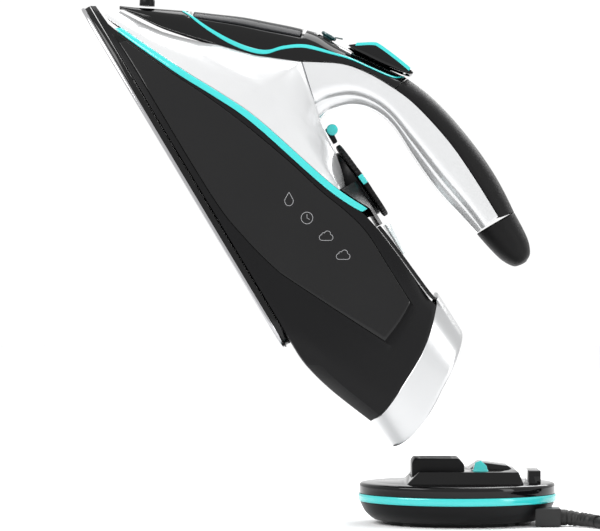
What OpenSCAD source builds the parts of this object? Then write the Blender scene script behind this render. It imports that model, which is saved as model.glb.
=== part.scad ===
// Cordless steam iron held over its docking base, with the mains lead of the base.
// Millimetres. Origin: middle of the underside of the base. +Z up, tip of the iron towards -X.

/* [Iron] */
// Widest part of the iron body
body_w = 114; // [104:1:122]
// Tilt of the sole below the level, held pose
iron_tilt = 59; // [58:0.5:60]
// Wall of the moulded shells
wall = 2.2; // [1.8:0.1:2.4]
// Radius of the temperature dial
dial_r = 25.5; // [24:0.5:26]

/* [Base] */
// Length of the base
dock_l = 119; // [116:1:124]
// Depth of the base
dock_w = 100; // [96:1:106]
// Height of the deck of the base
deck_z = 25; // [24:0.5:26]

/* [Lead] */
// Diameter of the mains lead
cord_d = 6.5; // [6:0.5:7]
// Radius of the coil at the middle of its turns
coil_r = 38.75; // [38:0.25:39]

/* [Hidden] */
$fn = 48;
gap = 0.15;
tip = [-225, 0, 307];

black = "#141414";
silver = "#d4d6d8";
teal = "#4fc9c6";
steel = "#a8acb0";

// ---- curves -----------------------------------------------------------------------------

// Point at t of the way from b to c on the smooth curve a-b-c-d
function bend(a, b, c, d, t) =
    b + 0.5 * t * (c - a + t * (2 * a - 5 * b + 4 * c - d + t * (3 * b - a - 3 * c + d)));
// Smooth curve through a list of points, n steps between neighbours
function smooth(p, n = 4) = [
    for (i = [0 : len(p) - 2]) for (k = [0 : n - 1])
        bend(p[max(i - 1, 0)], p[i], p[i + 1], p[min(i + 2, len(p) - 1)], k / n),
    p[len(p) - 1]];
function ease(t) = let (c = min(1, max(0, t))) c * c * (3 - 2 * c);
// Place at t (whole numbers are the points) along a list of points
function along(p, t) = let (i = min(len(p) - 2, floor(t)))
    bend(p[max(i - 1, 0)], p[i], p[i + 1], p[min(i + 2, len(p) - 1)], t - i);

// ---- body outlines, iron frame: x from tip to heel, z up from the sole -------------------

skirt_z = 5.8;
heel_s = 298;
plan_tab = smooth([[0, 1.6], [6, 7.5], [20, 16], [45, 27], [80, 38], [120, 46.5], [160, 52.5],
    [200, 56], [240, 57], [270, 55], [300, 51]]);
seam_tab = smooth([[20, 298], [30, 297], [39.5, 293.5], [54, 286.5], [66.5, 280], [79, 270.5],
    [90, 259.5], [96, 253]]);
rim_tab = smooth([[20, 317.5], [30.5, 318.5], [41.5, 316.5], [55.5, 311], [66.5, 304],
    [79, 296.5], [91.5, 286.5], [97, 280]]);
floor_tab = smooth([[0, skirt_z], [225, skirt_z], [237, skirt_z], [250, 6.5], [270, 11.5], [298, 22]]);
window_low_tab = smooth([[0, 7.4], [22, 8.6], [40, 9.8], [135, 10.2], [166, 13.8], [191, 19.8],
    [207, 26.5], [276, 60]]);
window_top_tab = smooth([[0, 8.2], [16, 9.2], [22, 10], [30, 13.5], [60, 26.5], [86, 38.5],
    [112, 49], [144, 60], [167, 66.5], [185, 73], [202, 77], [227, 77.5], [272, 78.5]]);
band_tab = smooth([[0, 11.2], [17, 12], [61, 30.5], [86, 43], [112, 54.7], [168, 72.2],
    [194, 84.8]]);
deck_tab = smooth([[194, 84], [205, 86], [223, 88], [250, 90.5], [256, 92]]);
roof_tab = [[7, 17], [10, 20], [32, 35], [55, 54.5], [77, 75], [95, 97], [129.5, 88.5],
    [150, 86.5], [165, 83.5], [173, 81]];
roof_half_tab = [[7, 2.2], [10, 3], [32, 10.5], [55, 15], [77, 17.5], [95, 19], [173, 19]];
band_h = 2.1;

function plan(s) = lookup(s, plan_tab) * body_w / 114;
function rake(s) = 0.6 * max(0, 1 - s / 60);
function body_x(s, z) = s + rake(s) * (z - skirt_z)
    - (heel_s - lookup(z, seam_tab)) * ease((s - 210) / (heel_s - 210));
function rounding(s, z) = let (f = ease((s - 225) / 50), t = min(1, max(0,
    (z - lookup(s, floor_tab)) / 12))) 1 - 0.2 * f * (1 - t) * (1 - t);
function half(s, z) = plan(s) * (1 - 0.0022 * max(0, z - skirt_z)) * rounding(s, z);
function at_x(tab, s) = let (z1 = lookup(s, tab), z2 = lookup(body_x(s, z1), tab))
    lookup(body_x(s, z2), tab);
function band_z(s) = at_x(band_tab, s);
function wall_top(s) = s < 194 ? band_z(s) - band_h : at_x(deck_tab, s) - band_h;

// ---- solids from sheets of points --------------------------------------------------------

// Closed skin between an outer and an inner sheet of points, sheet[row][column];
// open = [row0, row1, column0, column1] leaves those cells out
module skin(outer, inner, open = []) {
    rows = len(outer);
    cols = len(outer[0]);
    n = rows * cols;
    function kept(i, j) = i >= 0 && j >= 0 && i < rows - 1 && j < cols - 1
        && len([for (h = open) if (i >= h[0] && i < h[1] && j >= h[2] && j < h[3]) 1]) == 0;
    function at(i, j) = i * cols + j;
    function quad(a, b, c, d) = [[a, b, c], [a, c, d]];
    faces = [for (i = [0 : rows - 2]) for (j = [0 : cols - 2]) if (kept(i, j)) each concat(
        quad(at(i, j), at(i, j + 1), at(i + 1, j + 1), at(i + 1, j)),
        quad(n + at(i, j), n + at(i + 1, j), n + at(i + 1, j + 1), n + at(i, j + 1)),
        kept(i - 1, j) ? [] : quad(at(i, j + 1), at(i, j), n + at(i, j), n + at(i, j + 1)),
        kept(i + 1, j) ? [] : quad(at(i + 1, j), at(i + 1, j + 1), n + at(i + 1, j + 1),
            n + at(i + 1, j)),
        kept(i, j - 1) ? [] : quad(at(i, j), at(i + 1, j), n + at(i + 1, j), n + at(i, j)),
        kept(i, j + 1) ? [] : quad(at(i + 1, j + 1), at(i, j + 1), n + at(i, j + 1),
            n + at(i + 1, j + 1)))];
    polyhedron(points = concat([for (r = outer) each r], [for (r = inner) each r]), faces = faces);
}

// Solid through a row of closed rings, closed at both ends
module loft(rings) {
    m = len(rings[0]);
    last = len(rings) - 1;
    function middle(r) = [for (k = [0 : 2]) let (s = [for (p = r) p[k]]) (max(s) + min(s)) / 2];
    faces = concat(
        [for (i = [0 : last - 1]) for (j = [0 : m - 1]) let (k = (j + 1) % m, a = i * m, b = a + m)
            each [[a + j, a + k, b + k], [a + j, b + k, b + j]]],
        [for (j = [0 : m - 1]) [(last + 1) * m, (j + 1) % m, j]],
        [for (j = [0 : m - 1]) [(last + 1) * m + 1, last * m + j, last * m + (j + 1) % m]]);
    polyhedron(points = concat([for (r = rings) each r], [middle(rings[0]), middle(rings[last])]),
        faces = faces);
}

// Closed wall through loops of points that go round its section and back to the first
module ring_wall(loops) {
    n = len(loops);
    m = len(loops[0]);
    polyhedron(points = [for (r = loops) each r], faces = [for (i = [0 : n - 1]) for (k = [0 : m - 1])
        let (a = i * m, b = ((i + 1) % n) * m, q = (k + 1) % m)
        each [[a + k, b + k, b + q], [a + k, b + q, a + q]]]);
}

// Closed wall round the vertical axis with an oval plan, from a closed profile [inset, z]
module oval_wall(profile) {
    ring_wall([for (p = profile) [for (a = [0 : 9 : 351])
        [(dock_l / 2 - p[0]) * cos(a), (dock_w / 2 - p[0]) * sin(a), p[1]]]]);
}

module oval_plate(inset, z, h) {
    m = 40;
    translate([0, 0, z]) linear_extrude(h) polygon([for (k = [0 : m - 1]) let (a = 360 * k / m)
        [(dock_l / 2 - inset) * cos(a), (dock_w / 2 - inset) * sin(a)]]);
}

// Place a child drawn in the iron frame
module on_iron() {
    translate(tip) rotate([0, iron_tilt, 0]) children();
}

// Frame at a point on the iron, turned about Y so that local Z is the given direction
module at_slope(x, z, angle) {
    translate([x, 0, z]) rotate([0, angle, 0]) children();
}

module tube(r_out, r_in, h) {
    difference() {
        cylinder(r = r_out, h = h);
        translate([0, 0, -1]) cylinder(r = r_in, h = h + 2);
    }
}

// Compression spring drawn as a stack of rings on a thin sleeve
module spring(r, h, rings = 5) {
    tube(r - 0.2, r - 0.9, h);
    for (k = [0 : rings - 1]) translate([0, 0, k * (h - 1) / (rings - 1)]) tube(r + 0.4, r - 0.5, 1);
}

// Plan outline of the body, drawn in by an inset, between two stations
function plan_outline(inset, s0, s1, n = 16) = let (
    side = [for (k = [0 : n]) let (s = s0 + (s1 - s0) * pow(k / n, 1.5)) [s, max(0.8, plan(s) - inset)]])
    concat(side, [for (k = [n : -1 : 0]) [side[k][0], -side[k][1]]]);

// ---- soleplate and heating ---------------------------------------------------------------

sole_end = 234;
module sole_layer(grow, z, h) {
    nose = [for (k = [0 : 18]) let (s = sole_end * pow(k / 18, 1.6) * 0.92) [s, plan(s) + grow]];
    tail = [for (k = [1 : 5]) let (a = 18 * k) [0.92 * sole_end + (0.08 * sole_end + grow) * sin(a),
        (plan(0.92 * sole_end) + grow) * (0.72 + 0.28 * cos(a))]];
    half_side = concat([[-grow, 0.3]], nose, tail);
    translate([0, 0, z]) linear_extrude(h) polygon(concat(half_side,
        [for (k = [len(half_side) - 1 : -1 : 0]) [half_side[k][0], -half_side[k][1]]]));
}
module soleplate() {
    color(steel) difference() {
        union() {
            sole_layer(1.2, 0, 2.2);
            sole_layer(0.2, 2.2, 3.2);
        }
        for (s = [34 : 18 : 178]) for (side = [-1, 1])
            translate([s, side * (plan(s) - 11), -1]) cylinder(r = 1.5, h = 8, $fn = 24);
    }
}
module steam_chamber() {
    color("#8f9296") difference() {
        translate([0, 0, 5.8]) linear_extrude(12) polygon(plan_outline(14, 44, 212));
        element_path(5, 9, 12);
    }
}
// U-shaped channel or rod of the heater
module element_path(r, z0, h) {
    translate([0, 0, z0]) linear_extrude(h) {
        for (side = [-1, 1]) translate([105, side * 22 - r]) square([92, 2 * r]);
        translate([105, 0]) difference() {
            circle(r = 22 + r);
            circle(r = 22 - r);
            translate([0, -50]) square([50, 100]);
        }
    }
}
module heating_element() {
    color("#6a4a3a") element_path(3.8, 9.4, 8);
}
module chamber_cover() {
    color("#9aa0a4") translate([0, 0, 18]) linear_extrude(1.6) polygon(plan_outline(15, 46, 210));
}
module heat_shield() {
    color("#b7ab90") translate([0, 0, 22]) linear_extrude(1.8) polygon(plan_outline(9, 60, 228));
}
module thermostat() {
    color("#c9b27a") at_slope(dial_at[0], dial_at[1], dial_lean) translate([0, 0, -65.1]) tube(9, 3.57, 8);
}
module dial_shaft() {
    color("#e8e4d8") at_slope(dial_at[0], dial_at[1], dial_lean)
        translate([0, 0, -64]) cylinder(r = 3.5, h = 63.6);
}
module thermal_fuse() {
    color("#e8e8e8") translate([196, -16, 26.5]) rotate([-90, 0, 0]) cylinder(r = 2, h = 24);
}

// ---- outer shells of the body ------------------------------------------------------------

shell_s = [0, 2, 5, 10, 16, 24, 34, 48, 64, 82, 100, 120, 140, 160, 176, 190, 202, 214, 226,
    238, 250, 262, 272, 280, 288, 298];
function recess(s) = 1.5 * min(ease((s - 22) / 5), ease((276 - s) / 5));
function shell_side(s, out) = let (z0 = lookup(s, floor_tab), z1 = at_x(window_low_tab, s),
    z2 = max(z1 + 0.6, at_x(window_top_tab, s)), z3 = max(z2 + 0.4, wall_top(s) - gap),
    r = recess(s), w = out ? 0 : 1.5 + wall, k = out ? 1 : 0)
    [for (q = [[z3, 0], [z2 + 0.2, 0], [z2, r], [(z1 + z2) / 2, r], [z1, r], [z1 - 0.2, 0],
        [z0 + (out ? 0 : wall), 0]])
        [body_x(s, q[0]), max(k ? 0.8 : 0.3, half(s, q[0]) - (k * q[1]) - w), q[0]]];
function shell_ring(s, out) = let (side = shell_side(s, out), e = side[6]) concat(
    [for (p = side) [p[0], -p[1], p[2]]],
    [[e[0], -e[1] / 2, e[2]], [e[0], e[1] / 2, e[2]]],
    [for (k = [6 : -1 : 0]) side[k]]);
module lower_shell() {
    color(black) skin([for (s = shell_s) shell_ring(s, true)],
        [for (s = shell_s) shell_ring(s, false)], [[4, 18, 6, 9]]);
}
window_s = [28, 36, 48, 64, 84, 106, 130, 154, 176, 192, 206, 220, 234, 248, 260, 270];
function window_side(s, inset) = let (z1 = at_x(window_low_tab, s) + gap,
    z2 = at_x(window_top_tab, s) - gap)
    [for (k = [0 : 4]) let (z = z1 + (z2 - z1) * k / 4) [body_x(s, z), half(s, z) - inset, z]];
module tank_window() {
    color("#26282a") skin([for (s = window_s) window_side(s, 0)],
        [for (s = window_s) window_side(s, 1.3)]);
}
band_s = [18, 26, 36, 50, 66, 84, 104, 124, 144, 160, 172, 182, 190];
function band_half_h(s) = band_h * min(ease((s - 8) / 14), ease((202 - s) / 16));
function band_side(s, inset) = let (z = band_z(s), h = band_half_h(s))
    [for (k = [-1 : 1]) [body_x(s, z + k * h), half(s, z + k * h) - inset, z + k * h]];
module accent_band() {
    color(teal) skin([for (s = band_s) band_side(s, -0.5)], [for (s = band_s) band_side(s, wall)]);
}
module mirrored(left) {
    mirror([0, left ? 1 : 0, 0]) children();
}

roof_s = [7, 10, 15, 22, 32, 43, 55, 66, 77, 86, 95, 104, 113, 121, 130, 140, 150, 160, 166, 172];
function silver_low(s) = band_z(s) + band_half_h(s) + gap;
// Half arch of the upper shell from the band up to the flat roof
function arch(wl, wt, z, top) = let (d = wl - wt, h = top - z)
    [[wl, z], [wl - 0.2 * d, z + 0.35 * h], [wl - 0.62 * d, z + 0.7 * h],
        [wt + 0.05 * d, top - 0.08 * h], [0.9 * wt, top], [0.5 * wt, top]];
function roof_ring(s, t) = let (z = silver_low(s), top = max(z + 1, lookup(s, roof_tab) - t),
    wl = max(1.4, half(s, z) - t), wt = max(1.2, min(wl - 0.2, lookup(s, roof_half_tab) - t)),
    side = arch(wl, wt, z, top), x = body_x(s, z))
    concat([for (p = side) [x, -p[0], p[1]]], [[x, 0, top]],
        [for (k = [5 : -1 : 0]) [x, side[k][0], side[k][1]]]);
module upper_shell() {
    color(silver) skin([for (s = roof_s) roof_ring(s, 0)], [for (s = roof_s) roof_ring(s, wall)],
        [[4, 9, 5, 7], [11, 13, 5, 7], [16, 19, 5, 7]]);
}

// ---- handle ------------------------------------------------------------------------------

// Lower edge of the grip and the line where it meets the dark cover, [x, z]
grip_low = [[129.5, 88.9], [128.5, 97], [132.5, 110], [141.5, 119], [155.5, 124], [178, 125],
    [202, 127], [224, 131.5], [236, 134]];
grip_top = [[95.5, 97.4], [101, 106], [109, 117.3], [119.5, 126], [132, 133.2], [150.5, 141],
    [179, 147], [205, 149], [234, 149.5]];
grip_half = [18.5, 18, 17.5, 17, 17, 17, 17, 16.5, 16];
function grip_ring(t, in) = let (a = along(grip_top, t), c = along(grip_low, t),
    w = along(grip_half, t) - in, u = (c - a) / norm(c - a), low = c - u * in)
    [for (p = [[1, 0], [1, 0.3], [0.97, 0.6], [0.82, 0.84], [0.5, 0.97], [0, 1]]) each [
        concat([w * p[0]], a + (low - a) * p[1])]];
function both_sides(r) = concat([for (p = r) [p[1], -p[0], p[2]]],
    [for (k = [len(r) - 2 : -1 : 0]) [r[k][1], r[k][0], r[k][2]]]);
module handle_frame() {
    steps = [for (k = [0 : 24]) k / 3];
    color(silver) skin([for (t = steps) both_sides(grip_ring(t, 0))],
        [for (t = steps) both_sides(grip_ring(t, wall))]);
}
module handle_end() {
    low = [[236.6, 134.2], [248, 136.3], [258, 139], [264.5, 143], [266, 147]];
    top = [[236.8, 160], [247, 159.6], [256, 158.5], [263, 155.5], [266, 151]];
    w = [15.8, 15.5, 14.5, 11, 5];
    color(black) loft([for (t = [0 : 0.5 : 4]) let (a = along(low, t), b = along(top, t),
        h = along(w, t)) [for (k = [0 : 19]) let (f = 18 * k, m = (a + b) / 2,
            q = (b - a) / 2 * sin(f)) [m[0] + q[0], h * cos(f), m[1] + q[1]]]]);
}

// Dark cover over the front and the handle: foot line and ridge line, [x, z]
cover_low = [[10, 20.4], [20, 27.2], [32, 35.2], [44, 45.2], [55, 55], [66, 64.7], [77, 75.4],
    [86, 86], [95, 97.7], [104, 111.3], [112, 120.8], [122, 128.2], [133, 134.2], [137, 136],
    [150.5, 141.5], [165, 145], [179, 147.4], [192, 148.7], [205, 149.4], [220, 149.8], [235, 150]];
cover_top = [[9, 21.2], [14.5, 28.5], [23, 40.8], [33, 54.8], [43, 68], [53, 81], [63.5, 92.8],
    [74, 104.3], [85, 115], [95, 120.3], [104, 125.8], [117, 134.3], [130, 143], [135, 146.2],
    [150, 152.3], [165, 156.3], [180, 159], [195, 160.8], [210, 161.6], [224, 161.2], [237, 160]];
cover_half = [2.6, 6, 10, 12.5, 14.5, 16, 17, 17.5, 18, 18, 18, 17.8, 17.5, 17.3, 17, 17, 17,
    16.8, 16.6, 16.4, 16];
// Point on the cover: t along it, f degrees from the ridge to the foot, drawn in by an inset
function cover_at(t, f, in = 0) = let (a = along(cover_low, t), b = along(cover_top, t),
    u = (b - a) / norm(b - a), w = along(cover_half, t) - in, c = a + (b - a - u * in) * cos(f))
    [c[0], w * sin(f), c[1]];
cover_f = [-90, -74, -58, -46, -26, -10, 10, 26, 46, 58, 74, 90];
module cover_piece(t0, t1, open = []) {
    steps = [for (k = [0 : round((t1 - t0) * 2)]) t0 + k / 2];
    color(black) skin([for (t = steps) [for (f = cover_f) cover_at(t, f)]],
        [for (t = steps) [for (f = cover_f) cover_at(t, f, wall)]], open);
}
module top_cover() {
    cover_piece(0, 13, [[6, 15, 3, 8], [16, 18, 4, 7], [19, 22, 4, 7]]);
}
module handle_cover() {
    cover_piece(13.5, 20);
}
// Line of trim on the side of the cover, [place along the cover, degrees from the ridge]
trim = [[2.8, 20], [3.3, 48], [3.9, 66], [4.7, 78], [5.6, 84], [6.4, 83], [7, 71], [7.8, 62],
    [9, 65], [10, 66], [11, 66], [12, 54], [12.8, 22]];
module trim_line() {
    function edge(t, df, out) = let (p = along(trim, t)) cover_at(p[0], p[1] + df, -out);
    color(teal) skin([for (k = [0 : 36]) [for (df = [-3.5, 3.5]) edge(k / 3, df, 0.7)]],
        [for (k = [0 : 36]) [for (df = [-3.5, 3.5]) edge(k / 3, df, 0.15)]]);
}
door_t = [for (k = [0 : 8]) 3.2 + k * 0.52];
module fill_door() {
    color("#3a3d40", 0.8) skin([for (t = door_t) [for (f = [-42 : 12 : 42]) cover_at(t, f)]],
        [for (t = door_t) [for (f = [-42 : 12 : 42]) cover_at(t, f, 1.8)]]);
}
door_hinge = [35, 55.4];
module fill_door_pin() {
    color(steel) translate([door_hinge[0], 0, door_hinge[1]]) rotate([90, 0, 0])
        cylinder(r = 0.8, h = 12, center = true);
}
module fill_funnel() {
    color(black) at_slope(75, 66, -18) tube(8, 6, 18);
}

// ---- water system ------------------------------------------------------------------------

module water_tank() {
    color("#50606a", 0.6) difference() {
        translate([0, 0, 32.5]) linear_extrude(23) polygon(plan_outline(21, 92, 160, 8));
        translate([0, 0, 34.5]) linear_extrude(30) polygon(plan_outline(23, 94, 158, 8));
    }
}
module tank_lid() {
    color("#40484e") difference() {
        translate([0, 0, 55.7]) linear_extrude(2) polygon(plan_outline(21, 92, 160, 8));
        translate([138.5, 0, 50]) cylinder(r = 3, h = 20);
    }
}
module valve_rod() {
    color("#dcdcd4") translate([138.5, 0, 37]) cylinder(r = 2, h = 45);
}
module spray_nozzle() {
    color(black) at_slope(17.5, 35, -56) {
        cylinder(r = 4.6, h = 4.4);
        translate([0, 0, 4.4]) sphere(r = 3.6);
    }
}
spray_angle = -28;
spray_at = [91.7, 114.4];
module spray_button() {
    color("#124046") at_slope(spray_at[0], spray_at[1], spray_angle) {
        cylinder(r = 3.4, h = 4.6);
        translate([0, 0, 4.6]) cylinder(r = 5, h = 2);
        translate([0, 0, -7]) cylinder(r = 2, h = 7.5);
    }
}
module spray_pump() {
    color("#e4e4e0") at_slope(spray_at[0], spray_at[1], spray_angle)
        translate([0, 0, -15]) difference() {
            cylinder(r = 5.5, h = 10);
            translate([0, 0, 2]) cylinder(r = 4, h = 10);
        }
}
module spray_spring() {
    color(steel) at_slope(spray_at[0], spray_at[1], spray_angle) translate([0, 0, -4.9]) spring(3.1, 2, 2);
}

// ---- steam lever, selector and dial ------------------------------------------------------

lever_hinge = [131, 147.4];
module steam_lever() {
    side = [[99.5, 126.2], [102.5, 131], [107, 139.2], [110.7, 142], [122, 146.6], [133, 150.6],
        [134.5, 149.2], [130, 147], [117, 138.4], [104, 129]];
    color(teal) difference() {
        rotate([90, 0, 0]) linear_extrude(27, center = true) polygon(side);
        translate([lever_hinge[0], 0, lever_hinge[1]]) rotate([90, 0, 0])
            cylinder(r = 1.1, h = 40, center = true);
    }
}
module lever_pin() {
    color(steel) translate([lever_hinge[0], 0, lever_hinge[1]]) rotate([90, 0, 0])
        cylinder(r = 1.05, h = 26, center = true);
}
module steam_pump() {
    color("#e4e4e0") at_slope(113, 118, -34) translate([0, 0, -9]) tube(6, 4, 15);
}
module steam_spring() {
    color(steel) at_slope(113, 118, -34) translate([0, 0, 6.2]) spring(3.2, 3.6, 3);
}
module steam_selector() {
    color(teal) translate([138.5, 0, 90.2]) {
        rotate([90, 0, 0]) translate([0, 1.6, 0]) cylinder(r = 3.4, h = 14, center = true);
        translate([2, -5, -1.2]) cube([4.6, 10, 4]);
    }
}
dial_at = [173.7, 90];
dial_lean = -4;
module temperature_dial() {
    color(black) at_slope(dial_at[0], dial_at[1], dial_lean) {
        cylinder(r = dial_r, h = 3.2);
        difference() {
            translate([0, 0, 3.2]) cylinder(r = 8, h = 0.8);
            translate([0, 0, -1]) cylinder(r = 1, h = 1.5);
        }
    }
}
module dial_pointer() {
    color(teal) at_slope(dial_at[0], dial_at[1], dial_lean)
        translate([-3, -dial_r - 1, 0.2]) cube([6, 0.9, 3]);
}
module dial_housing() {
    s = [179, 183, 187, 192, 197, 202];
    function ring(x, t) = let (z = band_z(min(x, 190)) + band_h + 1, wl = half(x, z) - 1 - t,
        top = 88.2 - t) [[x, -wl, z], [x, -wl * 0.8, (z + top) / 2], [x, -wl * 0.55, top], [x, 0, top],
        [x, wl * 0.55, top], [x, wl * 0.8, (z + top) / 2], [x, wl, z]];
    color(black) skin([for (x = s) ring(x, 0)], [for (x = s) ring(x, wall)]);
}
module rear_lens() {
    top = [[203.5, 92.4], [209, 91.8], [216, 91.2], [224, 90.4]];
    color("#c8d8da", 0.7) loft([for (p = top) let (w = 30, z = 89.2) [[p[0], w, z], [p[0], w * 0.7, p[1]],
        [p[0], 0, p[1] + 0.3], [p[0], -w * 0.7, p[1]], [p[0], -w, z], [p[0], 0, z]]]);
}
module rear_deck() {
    s = [206, 212, 220, 230, 240, 250];
    function ring(x, t) = let (z = lookup(x, deck_tab) - 1.9, w = half(x, z) - 0.6) [for (k = [-4 : 4])
        [x, w * k / 4, z + wall - t + 0.8 * (1 - k * k / 16)]];
    color(black) skin([for (x = s) ring(x, 0)], [for (x = s) ring(x, wall)]);
}

// ---- heel --------------------------------------------------------------------------------

// Ring of the heel skirt, f from 0 at the seam to 1 at the rim, drawn in by an inset
function heel_ring(f, in) = let (zc = 58.5 + 1.5 * f, hz = 37 - 0.8 * f - in) [for (k = [0 : 35])
    let (a = 10 * k, q = sign(sin(a)) * pow(abs(sin(a)), 0.5), c = sign(cos(a)) * pow(abs(cos(a)), 0.4),
        z = zc + hz * q, x = lookup(z, seam_tab) + gap + f * (lookup(z, rim_tab) - lookup(z, seam_tab)))
    [x, c * (half(heel_s, z) * (1 - 0.1 * f) - in), z]];
module heel_skirt() {
    color(silver) ring_wall(concat([for (f = [0 : 0.2 : 1]) heel_ring(f, 0)],
        [for (f = [1 : -0.2 : 0]) heel_ring(f, wall)]));
}
heel_lean = 60;
module heel_plate() {
    color(black) at_slope(287, 54, heel_lean) difference() {
        translate([-30, -36, 0]) cube([60, 72, 2.4]);
        translate([-16, -14, -1]) cube([32, 28, 5]);
    }
}
module heel_socket() {
    color("#2a2a2a") at_slope(287, 54, heel_lean) difference() {
        translate([-15.8, -13.8, -9]) cube([31.6, 27.6, 11.4]);
        for (side = [-1 : 1]) translate([-11, side * 8 - 1.5, -7]) cube([22, 3, 12]);
    }
}
module control_board() {
    color("#2f6b3a") translate([206, -20, 40]) cube([44, 40, 1.6]);
}

// ---- docking base ------------------------------------------------------------------------

module dock_shell() {
    color(black) oval_wall([[15, 2.2], [10, 2.6], [4.5, 7], [1.2, 13.4], [3.6, 13.4], [6.6, 8], [11, 5],
        [15, 4.6]]);
}
module at_feet() {
    for (a = [45 : 90 : 315]) translate([40 * cos(a), 30 * sin(a), 0]) children();
}
module dock_bottom() {
    color(black) difference() {
        oval_plate(15.3, 0, 4.4);
        at_feet() translate([0, 0, -1]) cylinder(r = 5.1, h = 2.6);
    }
}
module dock_band() {
    color(teal) oval_wall([[1, 13.6], [0, 14.4], [0, 17.4], [1, 18.2], [3.4, 18.2], [3.4, 13.6]]);
}
module dock_cover() {
    r = [[0.8, 18.4], [0.8, 23.2], [2.4, deck_z - 0.4], [10, deck_z], [10, deck_z - 2.2],
        [3.2, deck_z - 2.8], [3, 18.4]];
    color("#0c0c0c") {
        oval_wall(r);
        difference() {
            union() {
                oval_plate(10, deck_z - 2.2, 2.2);
                plateau();
            }
            translate([-20, -22, 10]) cube([50, 44, 19.6]);
            translate([-28, -15, 20]) cube([32, 30, 30]);
            translate([8, -20, 20]) cube([10, 12, 20]);
        }
    }
}
// Raised seat under the heel with its ramp and the small block behind the channel
module plateau() {
    translate([0, 28, deck_z]) rotate([90, 0, 0]) linear_extrude(56)
        polygon([[-31, 0], [-24, 7.2], [35, 7.2], [38, 0]]);
    translate([0, 28, deck_z + 7.2]) rotate([90, 0, 0]) linear_extrude(26)
        polygon([[8, 0], [13.8, 4], [31, 1.8], [33, 0]]);
    translate([42, -16, deck_z]) cube([7, 32, 7.2]);
}
module dock_connector() {
    color("#101010") difference() {
        union() {
            translate([0, 14.6, deck_z - 3]) rotate([90, 0, 0]) linear_extrude(29.2)
                polygon([[-27.6, 0], [-27.6, 15], [-26, 17.5], [0.5, 17.5], [3.6, 14], [3.6, 0]]);
        }
        for (side = [-1 : 1]) translate([-22, side * 8 - 1.8, deck_z + 2]) cube([18, 3.6, 20]);
    }
}
module contact_pins() {
    color("#c8a24a") for (side = [-1 : 1])
        translate([-20, side * 8 - 0.8, deck_z + 2]) cube([14, 1.6, 9]);
}
module terminal_block() {
    color("#e6e2d4") translate([6, -12, 5]) cube([26, 24, 14]);
}
module dock_latch() {
    color(teal) translate([8.4, -19.6, 0]) {
        translate([0, 0, deck_z - 1]) cube([9.2, 11.2, 9]);
        translate([0, 8.2, deck_z + 10.8]) rotate([90, 0, 0]) linear_extrude(5.4)
            polygon([[0.5, -2.8], [1.6, 1.4], [5, 2.6], [8.4, -0.6], [8.8, -2.8]]);
    }
}
module latch_spring() {
    color(steel) translate([13, -14, 19.2]) spring(3, deck_z - 20.4);
}
module dock_feet() {
    color("#303030") at_feet() cylinder(r = 5, h = 1.6);
}

// ---- mains lead --------------------------------------------------------------------------

exit_y = -25;
lead_z = cord_d / 2;
coil_at = [154.1, -60.4];
// Way of the lead from the base to its coil, and from the coil to the plug
route = [[66, -26, 5.2], [71, -28.5, 4.4], [77, -33.5, 3.7], [82.5, -41, 3.3], [87.5, -50, 3.3],
    [92, -59, 3.3], [96, -68, 3.3], [99.5, -77, 3.3], [104, -85.5, 3.3], [110.5, -92.5, 3.3],
    [118.5, -98.5, 3.3]];
tail = [[202.5, -60.4, 9.9], [202.8, -52, 10.6], [203.8, -43, 12.6], [205.6, -34, 15.4],
    [207.5, -26.5, 17.6], [208.6, -22.4, 18.7]];
// Solid swept along a route, with a ring at each point
module sweep(path, r, sides = 10) {
    function way(i) = let (d = path[min(i + 1, len(path) - 1)] - path[max(i - 1, 0)]) d / norm(d);
    loft([for (i = [0 : len(path) - 1]) let (d = way(i), u = cross(d, [0, 0, 1]) / norm([d[0], d[1]]),
        v = cross(u, d)) [for (k = [0 : sides - 1]) let (a = 360 * k / sides)
            path[i] + r * (cos(a) * u + sin(a) * v)]]);
}
module strain_relief() {
    color(black) {
        difference() {
            translate([44, exit_y - 7, 0.4]) cube([15.6, 14, 10.6]);
            oval_plate(0.9, -1, 14);
        }
        translate([59.6, exit_y, 5.4]) rotate([0, 90, 0]) cylinder(r = 4.8, h = 3.4);
    }
}
module cord() {
    color(black) {
        sweep(concat([[63.2, -25.2, 5.4]], smooth(route, 2)), lead_z - 0.05);
        sweep(smooth(tail, 2), lead_z - 0.05);
    }
}
module cord_coil() {
    color(black) translate([coil_at[0], coil_at[1], 0]) rotate_extrude($fn = 96)
        translate([coil_r - 2 * cord_d, 0.1]) square([4 * cord_d, 2 * cord_d]);
}
module coil_tie() {
    color("#202020") translate([coil_at[0], coil_at[1] + coil_r, 0]) difference() {
        translate([-5, -15, 0.1]) cube([10, 30, 15]);
        translate([-6, -13.6, -1]) cube([12, 27.2, 14.6]);
    }
}
plug_at = [209, 4, 19];
module plug_body() {
    color(black) translate(plug_at) rotate([-90, 0, 0]) {
        cylinder(r = 18.5, h = 12);
        translate([0, 0, -26]) cylinder(r = 11, h = 26);
    }
}
module plug_pins() {
    color(steel) for (side = [-1, 1]) translate(plug_at + [side * 9.5, 12, 0]) rotate([-90, 0, 0])
        cylinder(r = 2.4, h = 19);
}

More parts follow.
